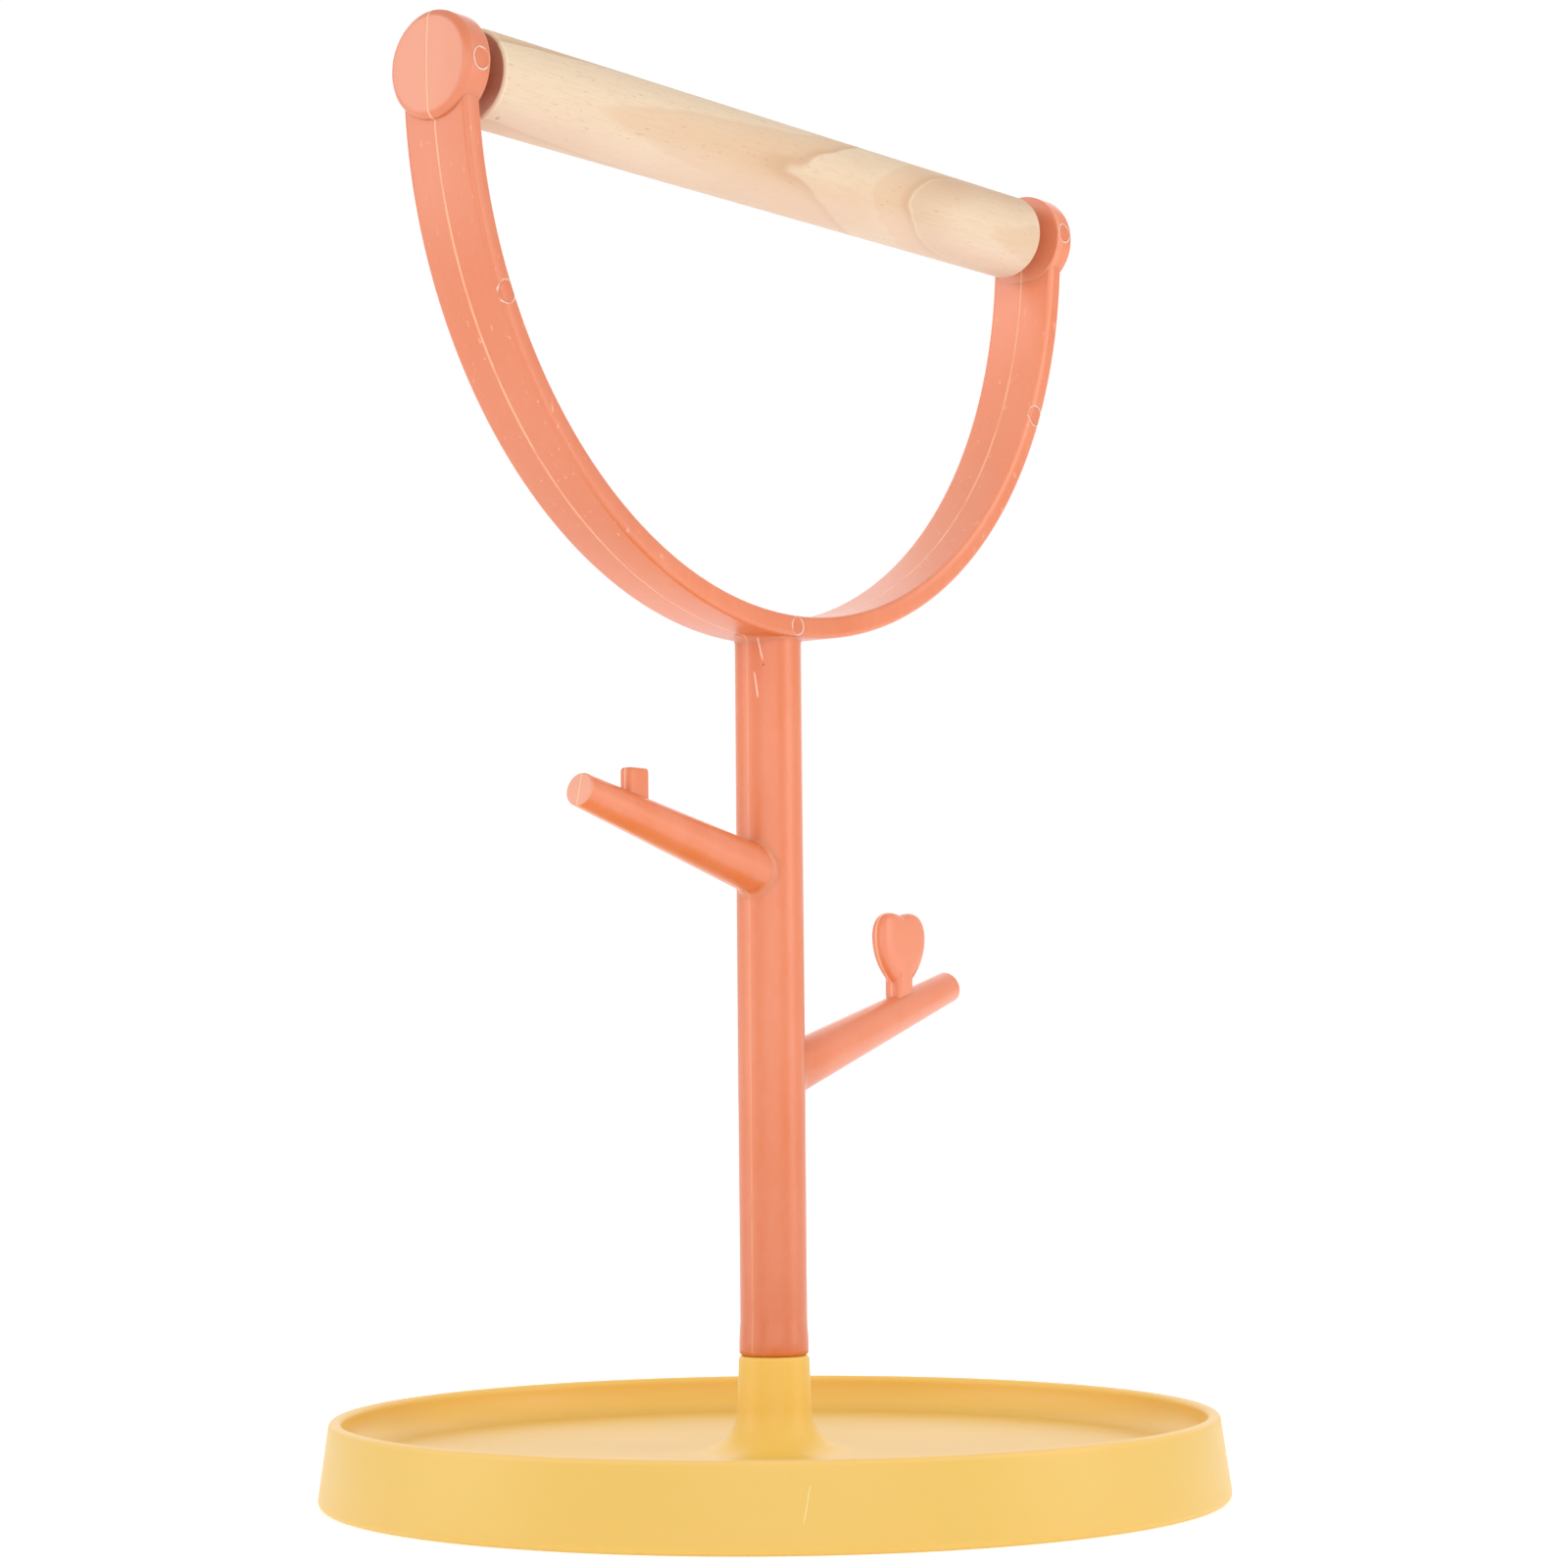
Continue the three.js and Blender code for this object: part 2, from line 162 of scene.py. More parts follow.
def gather(name, forms, finish, body, nodes):
    """Joins forms into one mesh object that stands for the given nodes of the engineering model."""
    whole = bmesh.new()
    for form in forms:
        part = bpy.data.meshes.new("part")
        form.to_mesh(part)
        form.free()
        whole.from_mesh(part)
        bpy.data.meshes.remove(part)
    mesh = bpy.data.meshes.new(name)
    whole.to_mesh(mesh)
    whole.free()
    mesh.shade_smooth()
    mesh.set_sharp_from_angle(angle=SHARP_ANGLE)
    mesh.materials.append(finish)
    piece = bpy.data.objects.new(name, mesh)
    bpy.context.scene.collection.objects.link(piece)
    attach(piece, body)
    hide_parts(*nodes)
    print(name, "has", len(mesh.polygons), "faces")
    return piece


# %% [markdown]
# ## Writing finishes as sums
# A finish is a graph of nodes, but it is easier to read as arithmetic. `Wire` stands for one output
# socket, and adding or multiplying wires adds the Math nodes. `Graph.node` makes any other node from
# its type, its settings and the values of its sockets. A `Finish` is a graph that ends in a material.

# %% Shader arithmetic
class Wire:
    """One output socket, with arithmetic that adds Math nodes."""

    def __init__(self, graph, socket):
        self.graph = graph
        self.socket = socket

    def math(self, operation, *others):
        values = dict(enumerate((self, *others)))
        return self.graph.node("ShaderNodeMath", {"operation": operation}, values)

    def __add__(self, other):
        return self.math("ADD", other)

    def __sub__(self, other):
        return self.math("SUBTRACT", other)

    def __mul__(self, other):
        return self.math("MULTIPLY", other)

    def __truediv__(self, other):
        return self.math("DIVIDE", other)

    def __pow__(self, other):
        return self.math("POWER", other)

    def __abs__(self):
        return self.math("ABSOLUTE")

    def smooth(self, low, high, start=0.0, end=1.0):
        """Goes smoothly from start to end while this wire goes from low to high."""
        settings = {"interpolation_type": "SMOOTHSTEP"}
        return self.graph.node(
            "ShaderNodeMapRange", settings, {0: self, 1: low, 2: high, 3: start, 4: end}
        )


def span(first, second):
    """The distance that two wires at right angles to each other span."""
    return (first**2 + second**2).math("SQRT")


# %% Graphs and finishes
class Graph:
    """A node tree whose nodes are made from a type, settings and values."""

    def __init__(self, tree):
        self.tree = tree

    def node(self, kind, settings=None, values=None, output=0):
        """Makes a node, first its settings and then its values, and gives one of its outputs."""
        made = self.tree.nodes.new(kind)
        for name, value in (settings or {}).items():
            setattr(made, name, value)
        for name, value in (values or {}).items():
            if isinstance(value, Wire):
                self.tree.links.new(value.socket, made.inputs[name])
            else:
                made.inputs[name].default_value = value
        return Wire(self, made.outputs[output])


class Finish(Graph):
    """A material under construction: its places in millimetres, its nodes and its one shader."""

    def __init__(self, name, **constants):
        self.material = bpy.data.materials.new(name)
        self.material.use_nodes = True
        super().__init__(self.material.node_tree)
        self.shader = self.tree.nodes["Principled BSDF"]
        for socket, value in constants.items():
            self.shader.inputs[socket.replace("_", " ")].default_value = value
        metres = self.node("ShaderNodeTexCoord", output="Object")
        self.place = self.node(
            "ShaderNodeVectorMath", {"operation": "SCALE"}, {"Vector": metres, "Scale": 1 / MM}
        )
        self.x = self.node("ShaderNodeSeparateXYZ", {}, {0: self.place}, output="X")
        self.y = self.node("ShaderNodeSeparateXYZ", {}, {0: self.place}, output="Y")
        self.z = self.node("ShaderNodeSeparateXYZ", {}, {0: self.place}, output="Z")

    def noise(self, scale, detail=2.0, stretch=(1, 1, 1), offset=(0, 0, 0), roughness=0.5):
        """Noise from 0 to 1 with a grain of `scale` mm, drawn out along an axis by its stretch."""
        size = tuple(1 / (scale * s) for s in stretch)
        spot = self.node(
            "ShaderNodeMapping", {}, {"Vector": self.place, "Scale": size, "Location": offset}
        )
        values = {"Vector": spot, "Scale": 1.0, "Detail": detail, "Roughness": roughness}
        return self.node("ShaderNodeTexNoise", {}, values)

    def mix(self, share, first, second):
        """A colour between two colours, which are sockets 6 and 7 of the Mix node."""
        first, second = (c if isinstance(c, Wire) else (*c, 1) for c in (first, second))
        return self.node(
            "ShaderNodeMix", {"data_type": "RGBA"}, {0: share, 6: first, 7: second}, output=2
        )

    def layers(self, colour, tints):
        """Lays tints over a colour, each with its share."""
        for share, tint in tints:
            colour = self.mix(share, colour, tint)
        return colour

    def connect(self, socket, wire):
        self.tree.links.new(wire.socket, self.shader.inputs[socket])

    def bump(self, height):
        """Adds a relief of `height` millimetres."""
        values = {"Height": height, "Distance": MM, "Strength": 1.0}
        self.connect("Normal", self.node("ShaderNodeBump", {}, values))


# %% [markdown]
# ## The coral plastic
# The stem is polypropylene: slightly see-through, satin, with soft flow streaks left by the melt. Its
# mould opens along Y, so a thin line of flash runs round the whole stem in the plane y = 0, and five
# round pins that pushed it out of the mould have left a ring of burr on the side that faces -Y. All
# of these follow from places on the stem, so they are drawn from Object coordinates, in millimetres.

# %% Places of the ejector marks
HEAD_PIN_RADIUS = 1.8
ARM_PIN_RADIUS = 1.95
TRUNK_PIN_RADIUS = 1.55
BAND_MIDDLE = YOKE_RADIUS - BAND_THICKNESS / 2
PIN_ANGLE = math.radians(25.6)
PIN_X = BAND_MIDDLE * math.cos(PIN_ANGLE)
PIN_Z = PERCH_HEIGHT - BAND_MIDDLE * math.sin(PIN_ANGLE)
HEAD_PIN_X = HEAD_INNER_FACE + 2.15
PINS = [
    (-HEAD_PIN_X, PERCH_HEIGHT, HEAD_PIN_RADIUS),
    (HEAD_PIN_X, PERCH_HEIGHT + 0.8, HEAD_PIN_RADIUS),
    (-PIN_X, PIN_Z, ARM_PIN_RADIUS),
    (PIN_X, PIN_Z, ARM_PIN_RADIUS),
    (0.0, PERCH_HEIGHT - BAND_MIDDLE, TRUNK_PIN_RADIUS),
]
print("ejector marks at", [(round(x, 1), round(z, 1)) for x, z, radius in PINS])


# %% Parting line
def parting_line(finish):
    """The flash in the mould's plane, broken here and there, and weaker on the trunk."""
    breaks = finish.noise(6, detail=2).smooth(0.3, 0.55, 0.35, 1.0)
    beside_trunk = abs(finish.x).smooth(TRUNK_RADIUS + 0.25, TRUNK_RADIUS + 1.05)
    above_trunk = finish.z.smooth(TRUNK_TOP - 1.5, TRUNK_TOP + 1.5)
    strength = (beside_trunk + above_trunk).math("MINIMUM", 1.0).smooth(0, 1, 0.35, 1.0)
    return abs(finish.y).smooth(0.1, 0.34, 1, 0) * breaks * strength


# %% Ejector marks
def ejector_marks(finish):
    """The ring of burr round each mark, and the shallow dent inside it, which the coral darkens as
    painted shade.
    """
    nearest = None
    for x, z, radius in PINS:
        beyond = span(finish.x - x, finish.z - z) - radius
        nearest = beyond if nearest is None else nearest.math("MINIMUM", beyond)
    face = -BAND_DEPTH / 2
    front = finish.y.smooth(face + 0.3, face + 0.7, 1, 0)
    breaks = finish.noise(2.2, detail=1).smooth(0.38, 0.55, 0.25, 1.0)
    burr = abs(nearest).smooth(0.1, 0.32, 1, 0) * front * breaks
    dent_and_painted_shade = nearest.smooth(-0.2, 0.0, 1, 0) * front
    return burr, dent_and_painted_shade


# %% [markdown]
# Two pale streaks and a dark dot sit on the trunk just below the band, where two fronts of melt met.
# They are placed as one sees them: `across` runs to the right in the photograph, and `behind` away
# from the camera, so that a mark can be kept to the near side.

# %% Streaks at the top of the trunk
VIEW_RIGHT = (0.617, -0.787)


def view_axes(finish):
    """How far a place lies to the right in the photograph, and how far behind the trunk's axis."""
    across = finish.x * VIEW_RIGHT[0] + finish.y * VIEW_RIGHT[1]
    behind = finish.y * VIEW_RIGHT[0] - finish.x * VIEW_RIGHT[1]
    return across, behind


def streaks_and_dot(finish):
    across, behind = view_axes(finish)
    near_side = behind.smooth(-2.5, -1.5, 1, 0)
    up = finish.z - TRUNK_TOP
    upper_line = abs(across + 1.8 + (up + 0.2) * 0.218).smooth(0.07, 0.26, 1, 0)
    upper = upper_line * up.smooth(-4.6, -3.5) * up.smooth(-0.7, -0.1, 1, 0)
    lower_line = abs(across + 2.2 + (up + 8.0) * 0.13).smooth(0.07, 0.26, 1, 0)
    lower = lower_line * abs(up + 8.6).smooth(1.6, 2.6, 1, 0)
    dot = span(across + 0.8, up + 5.1).smooth(0.15, 0.3, 1, 0)
    return (upper + lower) * near_side, dot * near_side


# %% [markdown]
# The coral is painted lighter or darker in places to stand in for light and shade: a painted reflection
# on the right arm's inner face, painted light on the lower branch, painted shade on the left arm and on
# the top of the trunk and the foot of the yoke under the band, and painted highlights on the upper
# branch's flat end and the heads' outer faces.

# %% Painted light and shade on the coral
def coral_painted_light_and_shade(finish):
    """Shares and tints of the painted light and shade on the coral."""
    above_trunk = finish.z.smooth(TRUNK_TOP + 0.5, TRUNK_TOP + 13.5)
    inner_skin = YOKE_RADIUS - BAND_THICKNESS
    from_perch = span(finish.x, finish.z - PERCH_HEIGHT)
    inside = from_perch.smooth(inner_skin + 0.6, inner_skin + 1.6, 1, 0)
    right_arm = finish.x.smooth(20, 50) * above_trunk * inside
    right_branch = finish.x.smooth(7, 14) * finish.z.smooth(120, 130, 1, 0)
    left_arm = finish.x.smooth(-50, -20, 1, 0) * above_trunk
    crown = abs(finish.x).smooth(6, 25, 1, 0) * finish.z.smooth(TRUNK_TOP - 16.5, TRUNK_TOP - 1.5)
    axis, reach = branch_axis(BRANCHES["upper"])
    tip = reach + BRANCHES["upper"]["root"] * axis.z
    along = finish.x * axis.x + finish.z * axis.z
    tip_face = along.smooth(tip - 0.35, tip - 0.1) * finish.z.smooth(140, 146, 1, 0)
    outer_face = HEAD_INNER_FACE + HEAD_THICKNESS
    head_face = abs(finish.x).smooth(outer_face - 0.6, outer_face - 0.2)
    # Painted reflection and painted light on the right arm and lower branch, painted shade on the left
    # arm and under the band, painted highlights on the upper branch's end face and the heads' outer
    # faces.
    return [
        (right_arm * 0.5 + right_branch * 0.35, (0.8, 0.28, 0.16)),
        (left_arm * 0.5, (0.56, 0.145, 0.055)),
        (crown * 0.4, (0.6, 0.13, 0.03)),
        (tip_face * 0.9, (0.69, 0.28, 0.17)),
        (head_face * 0.8, (0.66, 0.245, 0.14)),
    ]


# %% Coral finish
def coral_plastic():
    finish = Finish(
        "coral_plastic",
        Roughness=0.4,
        IOR=1.49,
        Specular_IOR_Level=0.9,
        Subsurface_Weight=0.12,
        Subsurface_Radius=(1.0, 0.35, 0.2),
        Subsurface_Scale=0.0025,
    )
    flow = finish.noise(9, detail=3, stretch=(1, 1, 5))
    cloud = finish.noise(22, detail=2)
    grain = finish.noise(0.45, detail=2)
    mottle = finish.noise(1.5, detail=3, stretch=(1, 1, 2)) - 0.5
    waviness = finish.noise(5, detail=1, stretch=(1, 1, 3))
    on_band = finish.z.smooth(158, 165) * finish.z.smooth(226, 232, 1, 0)
    scuffs = finish.noise(1.1, detail=2, stretch=(1, 1, 2.4)).smooth(0.66, 0.74) * on_band
    flash = parting_line(finish)
    burr, dent_and_painted_shade = ejector_marks(finish)
    streaks, dot = streaks_and_dot(finish)

    deep = (0.665, 0.155, 0.038)
    fair = (0.705, 0.215, 0.1)
    pale = (0.9, 0.55, 0.42)
    # Painted light: the coral is made lighter towards the top of the stem, and lighter low on the trunk
    # to lift the tray's shade.
    height = finish.z.smooth(60, 150, 0.0, 0.15) + finish.z.smooth(30, 65, 0.15, 0.0)
    clouds = flow.smooth(0.3, 0.7) * 0.45 + cloud.smooth(0.3, 0.7) * 0.3
    colour = finish.mix((clouds + height) * 0.95 + mottle * 0.6, deep, fair)
    marks = [
        (flash * 0.6, (0.95, 0.5, 0.28)),
        (scuffs * 0.32, pale),
        (burr * 0.9, pale),
        # The dent's darker colour is painted shade in its hollow; its relief below is real.
        (dent_and_painted_shade * 0.45, (0.6, 0.12, 0.03)),
        (streaks * 0.8, pale),
        (dot * 0.8, (0.3, 0.06, 0.02)),
    ]
    # The painted light and shade on the coral go on first, then the mould's marks.
    finish.connect("Base Color", finish.layers(colour, coral_painted_light_and_shade(finish) + marks))
    finish.connect("Roughness", flow * 0.1 + grain * 0.06 + 0.24)
    raised = flash * 0.07 + burr * 0.18 + streaks * 0.1 - dent_and_painted_shade * 0.15
    finish.bump(raised + waviness * 0.05 + grain * 0.02)
    return finish.material


CORAL = coral_plastic()

# %% [markdown]
# ## The stem's trunk and peg
# The trunk is a plain round bar with a rounded lower edge, which stands on the tray's boss, and a
# keyed peg that goes down into the boss. The peg's flat is cut with Bisect Plane.

# %% Trunk and peg
PEG_RADIUS = 3.6
PEG_LENGTH = 12.7
PEG_FLAT = 2.6
FOOT_RADIUS = 6.15


def trunk():
    outline = rounded(
        [
            (0, TRUNK_FOOT),
            (FOOT_RADIUS, TRUNK_FOOT, 0.8),
            (FOOT_RADIUS, TRUNK_FOOT + 2.4, 4),
            (TRUNK_RADIUS, TRUNK_FOOT + 6, 12),
            (TRUNK_RADIUS, TRUNK_TOP + 2),
            (0, TRUNK_TOP + 2),
        ]
    )
    return turned(outline, 64)


def peg():
    bottom = TRUNK_FOOT - PEG_LENGTH
    top = TRUNK_FOOT + 1.4
    outline = rounded([(0, bottom), (PEG_RADIUS, bottom, 0.4), (PEG_RADIUS, top), (0, top)])
    form = turned(outline, 48)
    cut = bmesh.ops.bisect_plane(
        form,
        geom=form.verts[:] + form.edges[:] + form.faces[:],
        plane_co=(PEG_FLAT * MM, 0, 0),
        plane_no=(1, 0, 0),
        clear_outer=True,
    )
    rim = [item for item in cut["geom_cut"] if isinstance(item, bmesh.types.BMEdge)]
    bmesh.ops.holes_fill(form, edges=rim)
    return form


# %% [markdown]
# ## Branches and their blends
# A branch is a tapered bar, but where it leaves the trunk the mould has a small blend, not a crease.
# A Boolean would leave a crease that is hard to bevel on such a dense mesh. Instead a blend is its own
# thin skin: for every direction round the branch, the point where branch and trunk meet is found, and
# a short curve runs from the trunk to the branch, touching both. The skin starts as a flat grid, one
# column per direction, and each of its vertices is moved to its place.

# %% Branch
def branch(spec):
    axis, length = branch_axis(spec)
    hidden = 2.5
    taper = (spec["radius"] - BRANCH_TIP_RADIUS) / length
    outline = rounded(
        [
            (0, hidden),
            (spec["radius"] - taper * hidden, hidden),
            (BRANCH_TIP_RADIUS, length, 0.35),
            (0, length),
        ]
    )
    tilt = Vector((0, 0, 1)).rotation_difference(axis).to_matrix().to_4x4()
    return turned(outline, 48, Matrix.Translation((0, 0, spec["root"] * MM)) @ tilt)


# %% Blend between a branch and the trunk
BLEND = 1.1
BLEND_COLUMNS = 48
BLEND_ROWS = 8


def root_curve(spec, angle):
    """Trunk end, meeting point and branch end of the blend's curve in one direction."""
    axis, length = branch_axis(spec)
    across = Vector((0, 1, 0))
    outward = across * math.cos(angle) + axis.cross(across) * math.sin(angle)
    taper = (spec["radius"] - BRANCH_TIP_RADIUS) / length
    base = Vector((0, 0, spec["root"]))

    def skin(distance):
        return base + axis * distance + outward * (spec["radius"] - taper * distance)

    near, far = 0.0, length / 2
    for _ in range(30):
        middle = (near + far) / 2
        inside = skin(middle).xy.length < TRUNK_RADIUS
        near, far = (middle, far) if inside else (near, middle)
    meeting = skin(near)
    up_trunk = Vector((meeting.x, meeting.y, 0)).normalized()
    slide = (outward - up_trunk * outward.dot(up_trunk)).normalized()
    foot = meeting + slide * BLEND
    foot.xy = foot.xy.normalized() * TRUNK_RADIUS
    return foot, meeting, skin(near + BLEND)


def blend_skin(curve_of):
    """A closed ring-shaped skin: its last two rows run back inside the plastic."""
    form = bmesh.new()
    rows = BLEND_ROWS
    made = bmesh.ops.create_grid(form, x_segments=BLEND_COLUMNS, y_segments=rows, size=1)
    for vert in made["verts"]:
        angle = math.pi * (vert.co.x + 1)
        part = (vert.co.y + 1) / 2 * (rows + 2) / rows
        foot, corner, end = curve_of(angle)
        if part > 1.001:
            inward = (foot + end) / 2 - corner
            place = corner - inward * 1.2 if part < 1 + 1.5 / rows else foot
        else:
            place = foot * (1 - part) ** 2 + corner * 2 * part * (1 - part) + end * part**2
        vert.co = place * MM
    bmesh.ops.remove_doubles(form, verts=form.verts, dist=1e-7)
    bmesh.ops.recalc_face_normals(form, faces=form.faces)
    return form


# %% [markdown]
# ## The yoke
# The yoke is a flat band bent to half a circle round the perch's axis, so one rounded rectangle is
# spun by half a turn. Its ends are hidden in the two heads. A head and its spigot are turned together,
# with a face that swells by a third of a millimetre and a broad rounding round it.

# %% Band
BAND_STEPS = 160


def band():
    inner = YOKE_RADIUS - BAND_THICKNESS
    half = BAND_DEPTH / 2
    corners = [(inner, -half), (YOKE_RADIUS, -half), (YOKE_RADIUS, half), (inner, half)]
    section = rounded([(*corner, 0.9) for corner in corners], closed=True, segments=4)
    form = bmesh.new()
    verts = [form.verts.new((x * MM, y * MM, 0)) for x, y in section]
    start = form.faces.new(verts)
    bmesh.ops.spin(
        form,
        geom=[start],
        cent=(0, 0, 0),
        axis=(0, 1, 0),
        angle=math.pi,
        steps=BAND_STEPS,
    )
    print("the band is", round(math.pi * YOKE_RADIUS, 1), "mm long on its outside")
    bmesh.ops.recalc_face_normals(form, faces=form.faces)
    lift = Matrix.Translation((0, 0, PERCH_HEIGHT * MM))
    bmesh.ops.transform(form, matrix=lift, verts=form.verts)
    return form


# %% Heads with their spigots
def head(side):
    face = HEAD_THICKNESS
    outline = rounded(
        [
            (0, face),
            (4.0, face - 0.04, 14),
            (7.9, face - 0.3, 0.9),
            (HEAD_RADIUS, face - 1.25, 0.9),
            (HEAD_RADIUS, 0, 0.4),
            (SPIGOT_RADIUS, 0, 0.3),
            (SPIGOT_RADIUS, -SPIGOT_LENGTH, 0.6),
            (0, -SPIGOT_LENGTH),
        ]
    )
    return turned(outline, 96, along_x(side, HEAD_INNER_FACE, PERCH_HEIGHT))


# %% Blend between the trunk and the band
def crown_curve(angle):
    """The blend under the band: broad along the band, and narrow towards its two edges."""
    out = Vector((math.cos(angle), math.sin(angle), 0))
    size = 0.35 + 1.1 * abs(out.x)

    def underside(x):
        return PERCH_HEIGHT - math.sqrt(YOKE_RADIUS**2 - x**2)

    corner = out * TRUNK_RADIUS
    corner.z = underside(corner.x)
    foot = corner - Vector((0, 0, size))
    end = out * (TRUNK_RADIUS + size)
    end.z = underside(end.x) + 0.25 * abs(out.y)
    return foot, corner, end


# %% [markdown]
# ## Twig and heart
# The twig is a small rounded bar. The heart and its stalk are one cushion: a sphere whose equator
# follows their outline and whose poles are pressed nearly flat. Pressing a sphere keeps its mesh even,
# so the two faces swell softly, the rim stays round and the heart runs into its stalk with no crease.

# %% Twig
TWIG_REACH = 37.0
TWIG_RISE = 8.0
TWIG_WIDTH = 5.1
TWIG_THICKNESS = 2.6
TWIG_ROUNDING = 0.7


def twig(bottom):
    top = bottom + TWIG_RISE
    form = bmesh.new()
    bmesh.ops.create_cube(form, size=1)
    size = Vector((TWIG_WIDTH, TWIG_THICKNESS, top - bottom)) * MM
    bmesh.ops.scale(form, vec=size, verts=form.verts)
    centre = Vector((-TWIG_REACH, 0, (top + bottom) / 2)) * MM
    bmesh.ops.translate(form, vec=centre, verts=form.verts)
    bmesh.ops.bevel(
        form,
        geom=form.edges[:],
        offset=TWIG_ROUNDING * MM,
        offset_type="OFFSET",
        segments=4,
        profile=0.5,
        affect="EDGES",
        material=-1,
    )
    return form


def height_on(spec, reach):
    """Height of a branch's axis at a distance from the trunk's axis."""
    return spec["root"] + spec["rise"] * reach / spec["reach"]


# %% Heart
HEART_REACH = 38.5
HEART_POINT = height_on(BRANCHES["lower"], HEART_REACH) + 5.1
HEART_HALF_WIDTH = 7.1
HEART_HEIGHT = 13.6
STALK_WIDTH = 4.7
STALK_LENGTH = 4.6
HEART_EDGE = 1.35
FOOT_SHARE, STALK_SHARE, CHEEK_SHARE = 0.06, 0.22, 0.6
HEART_DOME = 0.75


def bezier(start, first, second, end, part):
    rest = 1 - part
    near = start * rest**3 + first * 3 * rest**2 * part
    return near + second * 3 * rest * part**2 + end * part**3


def heart_rim(angle):
    """A point of the outline of stalk and heart; a half turn from the stalk's foot is the notch."""
    side = 1 if angle <= math.pi else -1
    part = angle / math.pi if side == 1 else 2 - angle / math.pi
    edge = STALK_WIDTH / 2
    wide, tall = HEART_HALF_WIDTH, HEART_HEIGHT
    neck = Vector((edge, 0.4))
    widest = Vector((wide, 0.66 * tall))
    if part < FOOT_SHARE:
        point = Vector((edge * part / FOOT_SHARE, -STALK_LENGTH))
    elif part < STALK_SHARE:
        rise = (part - FOOT_SHARE) / (STALK_SHARE - FOOT_SHARE)
        point = Vector((edge, -STALK_LENGTH)).lerp(neck, rise)
    elif part < CHEEK_SHARE:
        pulls = Vector((edge + 0.22 * wide, 0.12 * tall)), Vector((wide, 0.32 * tall))
        point = bezier(neck, *pulls, widest, (part - STALK_SHARE) / (CHEEK_SHARE - STALK_SHARE))
    else:
        pulls = Vector((wide, 0.9 * tall)), Vector((0.62 * wide, 1.07 * tall))
        notch = Vector((0, 0.93 * tall))
        point = bezier(widest, *pulls, notch, (part - CHEEK_SHARE) / (1 - CHEEK_SHARE))
    point.x *= side
    return point


def heart():
    form = bmesh.new()
    bmesh.ops.create_uvsphere(form, u_segments=120, v_segments=28, radius=1)
    middle = Vector((0, HEART_HEIGHT * 0.58))
    for vert in form.verts:
        angle = math.atan2(vert.co.y, vert.co.x) % (2 * math.pi)
        out = min(1.0, vert.co.xy.length)
        depth = vert.co.z
        rim = heart_rim(angle) - middle
        flat = middle + rim * out**0.55
        thick = HEART_EDGE * math.copysign(abs(depth) ** 0.62, depth) + HEART_DOME * depth
        vert.co = Vector((HEART_REACH + flat.x, -thick, HEART_POINT + flat.y)) * MM
    bmesh.ops.recalc_face_normals(form, faces=form.faces)
    return form


# %% [markdown]
# Every form of the stem now exists. They overlap inside the plastic, as a sculptor's clay would, and
# are gathered into the one moulding that they really are.

# %% Assemble the stem
def stem():
    upper, lower = BRANCHES["upper"], BRANCHES["lower"]
    forms = [
        trunk(),
        peg(),
        branch(upper),
        branch(lower),
        blend_skin(lambda angle: root_curve(upper, angle)),
        blend_skin(lambda angle: root_curve(lower, angle)),
        blend_skin(crown_curve),
        band(),
        head(-1),
        head(1),
        twig(height_on(upper, TWIG_REACH)),
        heart(),
    ]
    return gather("stem_moulding", forms, CORAL, "stand", ["stem"])


stem()

# %% [markdown]
# ## The yellow plastic and the tray
# The tray is the same kind of plastic in yellow, a little glossier. The whole tray is one outline: out
# along the floor from the boss, over the rim, down the leaning wall to the foot, and back underneath to
# the well for the screw. Straight ribs and a ring stiffen the floor from below.

# %% Measures of the tray
TRAY_RADIUS = 80.0
RIM_RADIUS = 78.0
TRAY_WALL = 2.2
TRAY_HEIGHT = 14.5
INNER_RADIUS = RIM_RADIUS - TRAY_WALL
FLOOR_HEIGHT = 8.0
FLOOR_THICKNESS = 2.2
BOSS_RADIUS = 6.25
SEAT_CLEARANCE = 0.3
SEAT_RADIUS = PEG_RADIUS + SEAT_CLEARANCE
SEAT_FLOOR = TRUNK_FOOT - PEG_LENGTH - SEAT_CLEARANCE
WEB_THICKNESS = 2.5
SCREW_HOLE = 1.8
WELL_RADIUS = 5.2
WELL_WALL = 1.8
print("the seat's floor is", round(SEAT_FLOOR, 2), "mm above the table")


